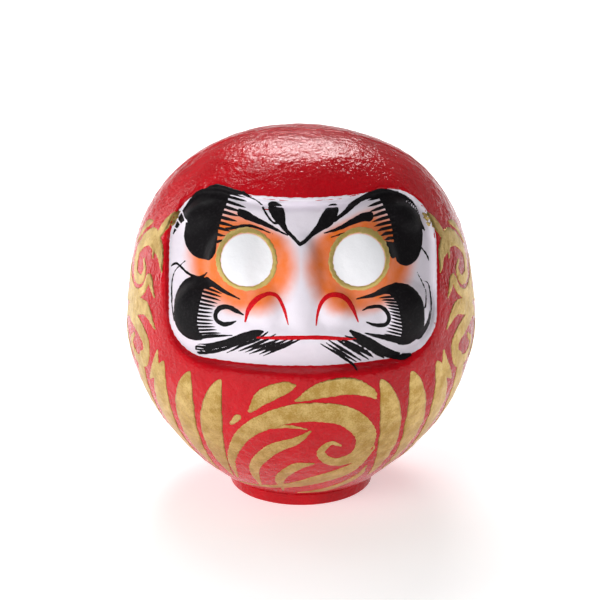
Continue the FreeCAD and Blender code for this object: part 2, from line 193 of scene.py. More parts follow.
class Tree:
    """A node tree filled by node(): settings first, then sockets in order or by name."""

    def __init__(self, tree):
        self.tree = tree

    def node(self, kind, options, *values, output=0, **named):
        item = self.tree.nodes.new(kind)
        for option, choice in options.items():
            setattr(item, option, choice)
        for socket, value in zip(item.inputs, values):
            self.feed(socket, value)
        for name, value in named.items():
            self.feed(self.find(item.inputs, name), value)
        outlet = item.outputs[output] if isinstance(output, int) else self.find(item.outputs, output)
        return Wire(self, outlet)

    def find(self, sockets, name):
        """A socket by its identifier, or by its name with underscores for spaces."""
        known = {socket.identifier: socket for socket in reversed(sockets)}
        return known[name] if name in known else sockets[name.replace("_", " ")]

    def feed(self, socket, value):
        if isinstance(value, Wire):
            self.tree.links.new(value.socket, socket)
        elif value is not None:
            socket.default_value = value

    def vector(self, operation, *values, output="Vector", **named):
        return self.node("ShaderNodeVectorMath", {"operation": operation}, *values, output=output, **named)

    def scaled(self, vector, factor):
        return self.vector("SCALE", vector, Scale=factor)

    def point(self, x, y, z):
        return self.node("ShaderNodeCombineXYZ", {}, x, y, z)

    def split(self, vector):
        item = self.tree.nodes.new("ShaderNodeSeparateXYZ")
        self.feed(item.inputs[0], vector)
        return [Wire(self, outlet) for outlet in item.outputs]


class Finish(Tree):
    """A material: constants sit on the shader's own sockets and patterns are wires."""

    def __init__(self, name, **constants):
        self.material = bpy.data.materials.new(name)
        self.material.use_nodes = True
        super().__init__(self.material.node_tree)
        self.shader = self.tree.nodes["Principled BSDF"]
        for socket, number in constants.items():
            self.put(socket, number)
        self.place = self.node("ShaderNodeTexCoord", {}, output="Object")

    def put(self, socket, value):
        self.feed(self.find(self.shader.inputs, socket), value)

    def noise(self, size, detail=2.0, roughness=0.5, distortion=0.0):
        """Soft noise from 0 to 1 whose lumps are about size wide, in metres."""
        return self.node(
            "ShaderNodeTexNoise",
            {},
            Vector=self.place,
            Scale=1 / size,
            Detail=detail,
            Roughness=roughness,
            Distortion=distortion,
        )

    def flakes(self, size, feature="F1"):
        """Distance from the middles of cells about size wide, in parts of a cell."""
        return self.node("ShaderNodeTexVoronoi", {"feature": feature}, Vector=self.place, Scale=1 / size)

    def mix(self, share, first, second):
        """One colour turning into another."""
        ends = [(*end, 1.0) if not isinstance(end, Wire) else end for end in (first, second)]
        return self.node(
            "ShaderNodeMix",
            {"data_type": "RGBA"},
            Factor_Float=share,
            A_Color=ends[0],
            B_Color=ends[1],
            output="Result_Color",
        )

    def bump(self, height, depth):
        """Puts a relief on the shader: height from 0 to 1, depth in metres."""
        self.put("Normal", self.node("ShaderNodeBump", {}, Strength=1.0, Distance=depth, Height=height))


# Finishes


def darker(colour, share):
    return tuple(share * part for part in colour)


def lacquer_finish():
    """Glossy red lacquer over paper lumps, a little duller where it sank in."""
    colours = settings("colours")
    finish = Finish("doll_lacquer", Specular_IOR_Level=0.22)
    broad = finish.noise(26 * MM, 3)
    lumps = finish.noise(5 * MM, 3, 0.6)
    grain = finish.noise(2.8 * MM, 2, 0.6)
    deep = darker(colours.lacquer, 0.84)
    finish.put("Base_Color", finish.mix(broad.ramp(0.3, 0.7), deep, tuple(colours.lacquer)))
    finish.put("Roughness", 0.08 + 0.14 * lumps)
    finish.bump(lumps * 0.5 + grain * 0.5, 1.2 * MM)
    return finish.material


# Airbrush on one half of the face: centre and half sizes of the orange patch, and the line it ends at
GLOW_CENTRE = (38 * MM, 189 * MM)
GLOW_HALF = (39 * MM, 33 * MM)
FROWN_FOOT = 205 * MM
FROWN_SLOPE = 0.36
EYE_CENTRE = (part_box("eye_rim_left")[0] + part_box("eye_rim_left")[1]) / 2
EYE_RADIUS = (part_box("eye_rim_left")[1].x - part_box("eye_rim_left")[0].x) / 2 - 2.9 * MM
FACE_SHIFT = 1.2 * MM
EYE_FLATTENED = 0.925


def ground_finish():
    """White shell-lime ground, orange airbrushed round the eyes, the blank eyes whiter."""
    colours = settings("colours")
    finish = Finish("doll_ground", Specular_IOR_Level=0.25, Roughness=0.42)
    across, _, up = finish.split(finish.place)
    away = abs(across)
    drift = (finish.noise(14 * MM, 2) - 0.5) * 6 * MM
    sideways = (away - GLOW_CENTRE[0] + drift) / GLOW_HALF[0]
    upwards = (up - GLOW_CENTRE[1] + drift) / GLOW_HALF[1]
    patch = (sideways ** 2 + upwards ** 2).ramp(0.48, 1.1, 1.0, 0.0)
    frown = FROWN_FOOT + FROWN_SLOPE * away
    glow = patch * (up - frown).ramp(-5 * MM, 2 * MM, 1.0, 0.0)
    aside = abs(across - FACE_SHIFT) - EYE_CENTRE.x
    eye = (aside ** 2 + ((up - EYE_CENTRE.z) / EYE_FLATTENED) ** 2) ** 0.5
    inside = (eye - EYE_RADIUS).ramp(-0.8 * MM, 0.8 * MM, 1.0, 0.0)
    mottle = finish.noise(8 * MM, 3)
    plain = finish.mix(mottle, tuple(colours.white), darker(colours.white, 0.94))
    sprayed = finish.mix(glow * (0.8 + 0.3 * mottle), plain, tuple(colours.orange))
    finish.put("Base_Color", finish.mix(inside, sprayed, tuple(colours.eye_white)))
    finish.bump(finish.noise(3.5 * MM, 3, 0.6) * 0.7 + mottle * 0.3, 0.3 * MM)
    return finish.material


def ink_finish(name, colour, shine):
    """Brush paint with the faint tracks of the brush's hairs."""
    finish = Finish(name, Specular_IOR_Level=0.1)
    tracks = finish.noise(1.4 * MM, 3, 0.6)
    lighter = tuple(min(1.0, 1.6 * part + 0.006) for part in colour)
    finish.put("Base_Color", finish.mix(tracks.ramp(0.45, 0.8), tuple(colour), lighter))
    finish.put("Roughness", shine + 0.2 * tracks)
    finish.bump(tracks, 0.15 * MM)
    return finish.material


def gold_finish(name, gold, pale_gold, metal):
    """Gold leaf and paint: bright metal broken up by flakes, wrinkles and grain."""
    finish = Finish(name, Metallic=metal)
    cloud = finish.noise(9 * MM, 4, 0.65)
    grain = finish.noise(1.1 * MM, 3, 0.7)
    pale = (cloud * 0.6 + grain * 0.5).ramp(0.42, 0.72)
    finish.put("Base_Color", finish.mix(pale, tuple(gold), tuple(pale_gold)))
    finish.put("Roughness", 0.26 + 0.25 * grain)
    finish.bump(grain * 0.4 + finish.flakes(3 * MM) * 0.3 + cloud * 0.6, 0.5 * MM)
    return finish.material


def paper_finish():
    paper = tuple(settings("colours").paper)
    finish = Finish("doll_paper", Roughness=0.85)
    fibres = finish.noise(1.5 * MM, 4, 0.7, 2.0)
    finish.put("Base_Color", finish.mix(fibres, darker(paper, 0.8), paper))
    finish.bump(fibres, 0.15 * MM)
    return finish.material


FINISHES = {}


def finish_for(kind):
    """The doll's own material of a kind, made on first use."""
    colours = settings("colours")
    makers = {
        "red_lacquer": lacquer_finish,
        "white_ground": ground_finish,
        "gold_leaf": lambda: gold_finish("doll_gold", colours.gold, colours.pale_gold, 1.0),
        "gold_paint": lambda: gold_finish("doll_gold_paint", colours.rim_gold, colours.pale_gold, 0.45),
        "plain_paper": paper_finish,
        "black_ink": lambda: ink_finish("doll_ink", colours.ink, 0.35),
        "red_paint": lambda: ink_finish("doll_red_line", colours.red_line, 0.4),
    }
    if kind not in FINISHES:
        FINISHES[kind] = makers[kind]()
    return FINISHES[kind]


# Mesh helpers


def new_object(name, mesh, material=None):
    item = bpy.data.objects.new(name, mesh)
    bpy.context.scene.collection.objects.link(item)
    if material is not None:
        mesh.materials.clear()
        mesh.materials.append(finish_for(material))
    return item


def mesh_from(name, points, faces):
    mesh = bpy.data.meshes.new(name)
    mesh.from_pydata([tuple(point) for point in points], [], [tuple(face) for face in faces])
    mesh.update()
    return mesh


def joined(name, meshes):
    work = bmesh.new()
    for mesh in meshes:
        work.from_mesh(mesh)
    both = bpy.data.meshes.new(name)
    work.to_mesh(both)
    work.free()
    return both


def declared(name, mesh, material, node, sharp=None):
    """A finished piece: it rides on the doll's one body and stands for its CAD node."""
    item = new_object(name, mesh, material)
    mesh.shade_smooth()
    if sharp is not None:
        mesh.set_sharp_from_angle(angle=math.radians(sharp))
    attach(item, "root")
    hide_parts(node)
    return item


def baked(item, name):
    """The object's evaluated mesh as plain data; the object itself is removed."""
    graph = bpy.context.evaluated_depsgraph_get()
    mesh = bpy.data.meshes.new_from_object(item.evaluated_get(graph))
    mesh.name = name
    bpy.data.objects.remove(item)
    return mesh


def outwards(mesh):
    """Turns every face of a closed mesh outwards."""
    work = bmesh.new()
    work.from_mesh(mesh)
    bmesh.ops.recalc_face_normals(work, faces=work.faces)
    work.to_mesh(mesh)
    work.free()
    return mesh


def arrays(mesh):
    points = np.empty(len(mesh.vertices) * 3)
    mesh.vertices.foreach_get("co", points)
    edges = np.empty(len(mesh.edges) * 2, np.int64)
    mesh.edges.foreach_get("vertices", edges)
    return points.reshape(-1, 3), edges.reshape(-1, 2)


def moved(mesh, points):
    mesh.vertices.foreach_set("co", points.ravel())
    mesh.update()
    return mesh


def relaxed(points, edges, weights, rounds):
    """Laplacian smoothing, each point moving by its own weight."""
    count = len(points)
    ends = np.concatenate([edges, edges[:, ::-1]])
    valence = np.maximum(np.bincount(ends[:, 0], minlength=count), 1)
    for _ in range(rounds):
        sums = [np.bincount(ends[:, 0], points[ends[:, 1], axis], count) for axis in range(3)]
        mean = np.stack(sums, axis=1) / valence[:, None]
        points = points + (weights * 0.5)[:, None] * (mean - points)
    return points


def smooth_step(low, high, values):
    share = np.clip((values - low) / (high - low), 0, 1)
    return share * share * (3 - 2 * share)


# The paper shell

SKIN = {}


def even_walls():
    """Both halves of the shell as one even mesh."""
    work = bmesh.new()
    for node in SHELL_NODES:
        work.from_mesh(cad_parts[node].data)
    bmesh.ops.remove_doubles(work, verts=work.verts, dist=1e-6)
    cut_faces = [face for face in work.faces if all(abs(vert.co.y - SEAM_Y) < 1e-6 for vert in face.verts)]
    bmesh.ops.delete(work, geom=cut_faces, context="FACES")
    mesh = bpy.data.meshes.new("walls")
    work.to_mesh(mesh)
    work.free()
    item = new_object("walls", mesh)
    even = item.modifiers.new("even", "REMESH")
    even.mode = "VOXEL"
    even.voxel_size = settings("paper").grid
    return baked(item, "walls")


def skins(walls):
    """Cuts the walls level just above the foot and returns the outer and the inner skin."""
    work = bmesh.new()
    work.from_mesh(walls)
    level = SHELL_FOOT + 2 * settings("paper").grid
    everything = [*work.verts, *work.edges, *work.faces]
    bmesh.ops.bisect_plane(
        work, geom=everything, plane_co=(0, 0, level), plane_no=(0, 0, 1), clear_inner=True)
    work.verts.index_update()
    group = np.full(len(work.verts), -1)
    tops = []
    for start in work.verts:
        if group[start.index] >= 0:
            continue
        group[start.index] = len(tops)
        top, front = start.co.z, [start]
        while front:
            near = {edge.other_vert(vert) for vert in front for edge in vert.link_edges}
            front = [vert for vert in near if group[vert.index] < 0]
            for vert in front:
                group[vert.index] = len(tops)
                top = max(top, vert.co.z)
        tops.append(top)
    parts = []
    for number in np.argsort(tops)[::-1][:2]:
        skin = work.copy()
        skin.verts.ensure_lookup_table()
        others = [skin.verts[index] for index in np.flatnonzero(group != number)]
        bmesh.ops.delete(skin, geom=others, context="VERTS")
        parts.append(bpy.data.meshes.new("skin"))
        skin.to_mesh(parts[-1])
        skin.free()
    work.free()
    return parts


def face_share(points):
    """1 in and round the face window, 0 over the rest of the shell."""
    across = 1 - smooth_step(FACE_HIGH.x + 3 * MM, FACE_HIGH.x + 12 * MM, np.abs(points[:, 0]))
    low = smooth_step(FACE_LOW.z - 14 * MM, FACE_LOW.z - 5 * MM, points[:, 2])
    high = 1 - smooth_step(FACE_HIGH.z + 6 * MM, FACE_HIGH.z + 16 * MM, points[:, 2])
    front = smooth_step(25 * MM, 40 * MM, -points[:, 1])
    return across * low * high * front


def hood_droop(points):
    """How far the hood's rim hangs down over the middle of the window."""
    across = 1 - smooth_step(20 * MM, 66 * MM, np.abs(points[:, 0]))
    rim = smooth_step(FACE_HIGH.z - 9 * MM, FACE_HIGH.z - 2 * MM, points[:, 2])
    above = 1 - smooth_step(FACE_HIGH.z + 2 * MM, FACE_HIGH.z + 20 * MM, points[:, 2])
    front = smooth_step(25 * MM, 40 * MM, -points[:, 1])
    return settings("paper").droop * across * rim * above * front


def crumple_at(spot):
    """Height of the paper's wrinkles and of the form's slow unevenness at a place, in metres."""
    paper = settings("paper")
    wave = noise.noise(spot / (45 * MM)) * paper.wobble
    folds = noise.noise(spot / paper.crumple_size)
    ridges = 0.5 - abs(noise.noise(spot / (1.5 * paper.crumple_size) + Vector((7, 3, 5))))
    small = noise.noise(spot / (0.4 * paper.crumple_size) + Vector((1, 9, 4)))
    return wave + paper.crumple * (0.6 * folds + 0.7 * ridges + 0.4 * small) - paper.sunk


def make_skin():
    """The shell's outer skin, softened and crumpled, and its plain inner skin."""
    outer, inner = skins(even_walls())
    points, edges = arrays(outer)
    share = face_share(points)
    foot = smooth_step(SHELL_FOOT + 3 * MM, SHELL_FOOT + 12 * MM, points[:, 2])
    points = relaxed(points, edges, foot, 3)
    points = relaxed(points, edges, share, settings("paper").softness)
    points[:, 2] -= hood_droop(points)
    moved(outer, points)
    lift = np.array([crumple_at(Vector(point)) for point in points]) * (1 - 0.5 * share) * foot
    normals = np.array([vert.normal for vert in outer.vertices])
    moved(outer, points + normals * lift[:, None])
    thin = new_object("inner", inner)
    thin.modifiers.new("fewer", "DECIMATE").ratio = 0.06
    SKIN["outer"] = outer
    SKIN["inner"] = baked(thin, "inner")
    corners = [vert.co.copy() for vert in outer.vertices]
    SKIN["tree"] = BVHTree.FromPolygons(corners, [tuple(face.vertices) for face in outer.polygons])
    SKIN["object"] = new_object("skin_guide", outer)


def boundary(work):
    return [edge for edge in work.edges if len(edge.link_faces) == 1]


def closed_shell():
    """Outer and inner skins, each drawn down to the foot, joined by the ring that stands on it."""
    work = bmesh.new()
    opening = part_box("base_weight")[1].x - 6.5 * MM
    for mesh, radius in ((SKIN["outer"], FOOT_RADIUS + 0.9 * MM), (SKIN["inner"], opening)):
        before = set(work.edges)
        work.from_mesh(mesh)
        rim = [edge for edge in boundary(work) if edge not in before]
        grown = bmesh.ops.extrude_edge_only(work, edges=rim)["geom"]
        for vert in (item for item in grown if isinstance(item, bmesh.types.BMVert)):
            scale = radius / math.hypot(vert.co.x, vert.co.y)
            vert.co = Vector((vert.co.x * scale, vert.co.y * scale, SHELL_FOOT))
    bmesh.ops.bridge_loops(work, edges=boundary(work))
    bmesh.ops.recalc_face_normals(work, faces=work.faces)
    return work


def shell_halves():
    """The two halves of the shell, cut at the seam and closed across the wall."""
    whole = closed_shell()
    halves = {}
    for node, kept in (("front_shell", -1), ("back_shell", 1)):
        work = whole.copy()
        everything = [*work.verts, *work.edges, *work.faces]
        bmesh.ops.bisect_plane(
            work, geom=everything, plane_co=(0, SEAM_Y, 0), plane_no=(0, kept, 0), clear_inner=True
        )
        filled = bmesh.ops.holes_fill(work, edges=boundary(work), sides=0)
        bmesh.ops.triangulate(work, faces=filled["faces"])
        halves[node] = bpy.data.meshes.new(node)
        work.to_mesh(halves[node])
        work.free()
    whole.free()
    return halves


# Films thrown on the skin


def from_front(place):
    """Start and direction of the throw for a point of the upright plane in front of the doll."""
    return Vector((place[0], -2 * BODY_RADIUS, place[1])), Vector((0, 1, 0))


def from_side(place):
    """The same for a point of the unrolled side: across is the arc round the equator, 0 at the front."""
    angle = place[0] / BODY_RADIUS
    out = Vector((math.sin(angle), -math.cos(angle), 0))
    return out * 2 * BODY_RADIUS + Vector((0, 0, place[1])), -out


def from_hoop(place):
    """The same for the seam: across is the arc over the crown, 0 at the top, and up is along Y."""
    angle = place[0] / BODY_RADIUS
    out = Vector((math.sin(angle), 0, math.cos(angle)))
    return Vector((0, place[1], MIDDLE)) + out * 2 * BODY_RADIUS, -out


def traced(field, low, high, step):
    """The part of a plane where the field is below 0, as polygons on a square grid, with its depth."""
    columns = int(math.ceil((high[0] - low[0]) / step)) + 1
    rows = int(math.ceil((high[1] - low[1]) / step)) + 1
    across, up = np.meshgrid(low[0] + step * np.arange(columns), low[1] + step * np.arange(rows))
    values = field(across, up)
    inside = values < 0
    points, depth, faces, known = [], [], [], {}

    def corner(here):
        if here not in known:
            known[here] = len(points)
            points.append((across[here], up[here]))
            depth.append(-values[here])
        return known[here]

    def crossing(*ends):
        key = tuple(sorted(ends))
        if key not in known:
            start, end = values[key[0]], values[key[1]]
            share = min(0.94, max(0.06, start / (start - end)))
            known[key] = len(points)
            points.append(
                (
                    across[key[0]] + share * (across[key[1]] - across[key[0]]),
                    up[key[0]] + share * (up[key[1]] - up[key[0]]),
                )
            )
            depth.append(0.0)
        return known[key]

    touched = inside[:-1, :-1] | inside[1:, :-1] | inside[:-1, 1:] | inside[1:, 1:]
    for row, column in zip(*np.nonzero(touched)):
        square = [(row, column), (row, column + 1), (row + 1, column + 1), (row + 1, column)]
        polygon = []
        for here, ahead in zip(square, [*square[1:], square[0]]):
            if inside[here]:
                polygon.append(corner(here))
            if inside[here] != inside[ahead]:
                polygon.append(crossing(here, ahead))
        if len(polygon) > 2:
            faces.append(polygon)
    return points, np.array(depth), faces


def laid_film(name, field, low, high, thickness, throw=from_front, base=0.0, step=None, feather=0.6 * MM):
    """A thin closed film over the field's inside, thrown on the skin and rounded off at its edge."""
    flat, depth, faces = traced(field, low, high, step or settings("coats").step)
    ground = []
    for place in flat:
        hit = SKIN["tree"].ray_cast(*throw(place))[0]
        if hit is None:
            raise RuntimeError(f"{name} misses the doll at {place}")
        ground.append(hit)
    sheet = mesh_from(name, ground, faces)
    normals = np.array([vert.normal for vert in sheet.vertices])
    if normals.mean(axis=0).dot(throw(flat[len(flat) // 2])[1]) > 0:
        faces = [face[::-1] for face in faces]
        normals = -normals
    ground = np.array(ground)
    swell = 0.3 + 0.7 * smooth_step(0, feather, depth)
    top = ground + normals * (base + thickness * swell)[:, None]
    bottom = ground + normals * (base - 0.14 * MM)
    count = len(flat)
    used = {pair for face in faces for pair in zip(face, [*face[1:], face[0]])}
    rim = [pair for pair in used if pair[::-1] not in used]
    walls = [(end, start, start + count, end + count) for start, end in sorted(rim)]
    under = [[index + count for index in face[::-1]] for face in faces]
    bpy.data.meshes.remove(sheet)
    return mesh_from(name, [*top, *bottom], faces + under + walls)


# Brushwork, as fields that are negative under the paint


def unevenness(across, up, height):
    """The small waver of a hand-held brush."""
    x, z = across / MM, up / MM
    waves = np.sin(0.83 * x + 1.9 * z) + np.sin(1.71 * z - 0.6 * x + 2.0) + np.sin(1.33 * x - 1.07 * z + 4.0)
    return height * waves / 3


def smooth_path(marks, per_span=7):
    """Points and half widths along a smooth line through marks (across, up, half width)."""
    marks = np.array(marks, float) * MM
    padded = np.vstack([2 * marks[0] - marks[1], marks, 2 * marks[-1] - marks[-2]])
    path = []
    for one, two, three, four in zip(padded, padded[1:], padded[2:], padded[3:]):
        for share in np.linspace(0, 1, per_span, endpoint=False):
            path.append(
                0.5
                * (
                    2 * two
                    + (three - one) * share
                    + (2 * one - 5 * two + 4 * three - four) * share ** 2
                    + (3 * two - one - 3 * three + four) * share ** 3
                )
            )
    path.append(marks[-1])
    return np.array(path)


def stroke_field(marks, across, up):
    """Distance to a brush stroke of changing width, negative inside it."""
    path = smooth_path(marks)
    best = np.full(across.shape, 1.0)
    for start, end in zip(path, path[1:]):
        run = end[:2] - start[:2]
        size = max(run.dot(run), 1e-14)
        share = np.clip(((across - start[0]) * run[0] + (up - start[1]) * run[1]) / size, 0, 1)
        gap = np.hypot(across - start[0] - share * run[0], up - start[1] - share * run[1])
        best = np.minimum(best, gap - np.maximum(start[2] + share * (end[2] - start[2]), 0.12 * MM))
    return best


def brushed(strokes, waver=0.15 * MM, dry=()):
    """A field for a set of strokes. Dry streaks are thin strokes where the brush left no paint."""

    def field(across, up):
        paint = np.full(across.shape, 1.0)
        for marks in strokes:
            paint = np.minimum(paint, stroke_field(marks, across, up))
        for marks in dry:
            paint = np.maximum(paint, -stroke_field(marks, across, up))
        return paint + unevenness(across, up, waver)

    return field


def extent(strokes, margin=1.5):
    """Lowest and highest corner of a set of strokes, in metres."""
    marks = np.array([mark for marks in strokes for mark in marks])
    spread = marks[:, 2].max() + margin
    return (marks[:, :2].min(axis=0) - spread) * MM, (marks[:, :2].max(axis=0) + spread) * MM


def painted(name, strokes, thickness, waver=0.15 * MM, dry=(), **ways):
    return laid_film(name, brushed(strokes, waver, dry), *extent(strokes), thickness, **ways)


# Things laid on the skin with geometry nodes


def add_inputs(group, inputs):
    kinds = {float: "NodeSocketFloat", int: "NodeSocketInt", Vector: "NodeSocketVector"}
    group.interface.new_socket("Geometry", in_out="INPUT", socket_type="NodeSocketGeometry")
    for name, value in inputs.items():
        kind = kinds.get(type(value)) or f"NodeSocket{type(value).__name__}"
        group.interface.new_socket(name, in_out="INPUT", socket_type=kind)
    group.interface.new_socket("Geometry", in_out="OUTPUT", socket_type="NodeSocketGeometry")


class Laying(Tree):
    """A geometry tree with named inputs, whose lines and sheets are thrown on the doll's skin."""

    def __init__(self, name, inputs):
        super().__init__(bpy.data.node_groups.new(name, "GeometryNodeTree"))
        add_inputs(self.tree, inputs)
        source = self.tree.nodes.new("NodeGroupInput")
        self.inputs = {outlet.name: Wire(self, outlet) for outlet in source.outputs}

    def skin(self):
        return self.node("GeometryNodeObjectInfo", {}, self.inputs["Skin"], output="Geometry")

    def thrown(self, start, direction):
        """Where lines from start along direction meet the skin, and the skin's normal there."""
        item = self.tree.nodes.new("GeometryNodeRaycast")
        for name, value in (("Target Geometry", self.skin()), ("Source Position", start)):
            self.feed(item.inputs[name], value)
        self.feed(item.inputs["Ray Direction"], direction)
        self.feed(item.inputs["Ray Length"], 4 * BODY_RADIUS)
        return Wire(self, item.outputs["Hit Position"]), Wire(self, item.outputs["Hit Normal"])

    def thrown_in(self, angle, height):
        """The same for level lines that run in to the doll's axis from an angle round it."""
        out = self.point(angle.math("SINE"), angle.math("COSINE") * -1, 0.0)
        start = self.vector("ADD", self.scaled(out, 2 * BODY_RADIUS), self.point(0.0, 0.0, height))
        return self.thrown(start, self.scaled(out, -1.0))

    def placed(self, geometry, position):
        return self.node("GeometryNodeSetPosition", {}, geometry, Position=position)

    def lying_tube(self, line, half_width, proud, base):
        """A tube along the line, sunk in the skin so that only a low rounded ridge shows."""
        place = self.node("GeometryNodeInputPosition", {})
        x, _, z = self.split(place)
        hit, normal = self.thrown(self.point(x, -2 * BODY_RADIUS, z), (0, 1, 0))
        radius = (half_width ** 2 + proud ** 2) / (2 * proud)
        sunk = self.vector("ADD", hit, self.scaled(normal, base + proud - radius))
        profile = self.node("GeometryNodeCurvePrimitiveCircle", {}, Resolution=12, Radius=1.0)
        return self.node(
            "GeometryNodeCurveToMesh",
            {},
            self.placed(line, sunk),
            profile,
            Scale=radius,
            Fill_Caps=True,
        )

    def end(self, geometry):
        """Closes the tree with real geometry in its material."""
        real = self.node("GeometryNodeRealizeInstances", {}, geometry)
        coated = self.node("GeometryNodeSetMaterial", {}, real, Material=self.inputs["Finish"])
        sink = self.tree.nodes.new("NodeGroupOutput")
        self.feed(sink.inputs[0], coated)
        return self.tree


def grown(name, group, seed_mesh, values):
    """Runs a geometry tree on a seed with the given inputs and returns the plain mesh."""
    item = new_object(name, seed_mesh)
    growth = item.modifiers.new("growth", "NODES")
    growth.node_group = group
    ids = {one.name: one.identifier for one in group.interface.items_tree if one.in_out == "INPUT"}
    for label, value in values.items():
        growth[ids[label]] = value
    return outwards(baked(item, name))


COMB_INPUTS = {
    "Hairs": 10,
    "Half width": 0.0,
    "Proud": 0.0,
    "Base": 0.0,
    "Ragged": 0.0,
    "Seed": 0,
}


def comb_tree(skin, finish):
    """A comb of tapering hairs, each from a root line to a tip line, laid on the skin."""
    laying = Laying("hair_comb", {**COMB_INPUTS, "Skin": skin, "Finish": finish})
    value = laying.inputs
    points = laying.node("GeometryNodePoints", {}, value["Hairs"])
    index = laying.node("GeometryNodeInputIndex", {})
    share = index / (value["Hairs"] - 1)
    ends = {}
    for number, name in enumerate(("root", "tip")):
        ends[name] = laying.node(
            "GeometryNodeSampleCurve",
            {"mode": "FACTOR"},
            value["Geometry"],
            Factor=share,
            Curve_Index=number,
            output="Position",
        )
    ragged = laying.node(
        "FunctionNodeRandomValue",
        {"data_type": "FLOAT"},
        Min_001=1 - value["Ragged"],
        Max_001=1.0,
        ID=index,
        Seed=value["Seed"],
        output="Value_001",
    )
    reach = laying.scaled(laying.vector("SUBTRACT", ends["tip"], ends["root"]), ragged)
    for name, vector in (("root", ends["root"]), ("reach", reach)):
        options = {"data_type": "FLOAT_VECTOR", "domain": "POINT"}
        points = laying.node("GeometryNodeStoreNamedAttribute", options, points, Name=name, Value=vector)
    hair = laying.node("GeometryNodeCurvePrimitiveLine", {}, (0, 0, 0), (0, 0, 1))
    hair = laying.node("GeometryNodeResampleCurve", {}, hair, Count=9)
    hairs = laying.node("GeometryNodeInstanceOnPoints", {}, points, Instance=hair)
    hairs = laying.node("GeometryNodeRealizeInstances", {}, hairs)
    along = laying.node("GeometryNodeSplineParameter", {}, output="Factor")
    kept = [
        laying.node("GeometryNodeInputNamedAttribute", {"data_type": "FLOAT_VECTOR"}, name)
        for name in ("root", "reach")
    ]
    hairs = laying.placed(hairs, laying.vector("ADD", kept[0], laying.scaled(kept[1], along)))
    taper = 1.02 - along ** 4
    tubes = laying.lying_tube(
        hairs, value["Half width"] * taper, value["Proud"] * taper ** 0.5, value["Base"])
    return laying.end(tubes)


def comb(name, roots, tips, hairs, half_width, ragged=0.12, seed=1):
    """Hairs from a line through the root marks to a line through the tip marks, both from the top down."""
    coats = settings("coats")
    lines = bpy.data.curves.new(name, "CURVE")
    lines.dimensions = "3D"
    for marks in (roots, tips):
        path = smooth_path([(x, z, 0) for x, z in marks])
        spline = lines.splines.new("POLY")
        spline.points.add(len(path) - 1)
        for point, (x, z, _) in zip(spline.points, path):
            point.co = (x, 0, z, 1)
    skin, ink = SKIN["object"], finish_for("black_ink")
    group = bpy.data.node_groups.get("hair_comb") or comb_tree(skin, ink)
    values = {
        "Hairs": hairs,
        "Half width": half_width * MM,
        "Proud": coats.hair,
        "Base": coats.ground,
        "Ragged": ragged,
        "Seed": seed,
        "Skin": skin,
        "Finish": ink,
    }
    return grown(name, group, lines, values)


FOLD_INPUTS = {
    "Top angle": 0.0,
    "Foot angle": 0.0,
    "Top": 0.0,
    "Foot": 0.0,
    "Half width": 0.0,
    "Thickness": 0.0,
}
FOLD_COLUMNS, FOLD_ROWS = 13, 110


def fold_tree(skin, finish):
    """One gilded fold of the robe: a leaf-shaped sheet from the chest back and down to the foot."""
    laying = Laying("robe_fold", {**FOLD_INPUTS, "Skin": skin, "Finish": finish})
    value = laying.inputs
    grid = laying.node(
        "GeometryNodeMeshGrid", {}, Size_X=2.0, Size_Y=1.0, Vertices_X=FOLD_COLUMNS, Vertices_Y=FOLD_ROWS
    )
    side, row, _ = laying.split(laying.node("GeometryNodeInputPosition", {}))
    down = 0.5 - row
    angle = value["Top angle"] + (value["Foot angle"] - value["Top angle"]) * down ** 0.75
    height = value["Top"] + (value["Foot"] - value["Top"]) * down
    centre, _ = laying.thrown_in(angle, height)
    out_x, out_y, _ = laying.split(centre)
    radius = (out_x ** 2 + out_y ** 2) ** 0.5
    leaf = (down ** 0.8 * math.pi).math("SINE").math("MAXIMUM", 0.0) ** 0.7
    waver = laying.node("ShaderNodeTexNoise", {}, Vector=centre, Scale=1 / (9 * MM), Detail=2.0) * 0.3 + 0.85
    spread = side * value["Half width"] * leaf * waver / radius
    hit, normal = laying.thrown_in(angle + spread, height)
    swell = ((1.0 - side ** 2) * (1.0 - (2.0 * down - 1.0) ** 6)).math("MAXIMUM", 0.0) ** 0.4
    sheets = []
    for level in (value["Thickness"] * swell, swell * -0.2 * MM):
        position = laying.vector("ADD", hit, laying.scaled(normal, level + 0.06 * MM))
        sheets.append(laying.placed(grid, position))
    under = laying.node("GeometryNodeFlipFaces", {}, sheets[1])
    both = laying.node("GeometryNodeJoinGeometry", {}, sheets[0])
    laying.tree.links.new(under.socket, both.socket.node.inputs[0])
    return laying.end(laying.node("GeometryNodeMergeByDistance", {}, both, Distance=1e-6))


# Marks of the brush: (across, up, half width) in millimetres on the upright plane in front of the doll

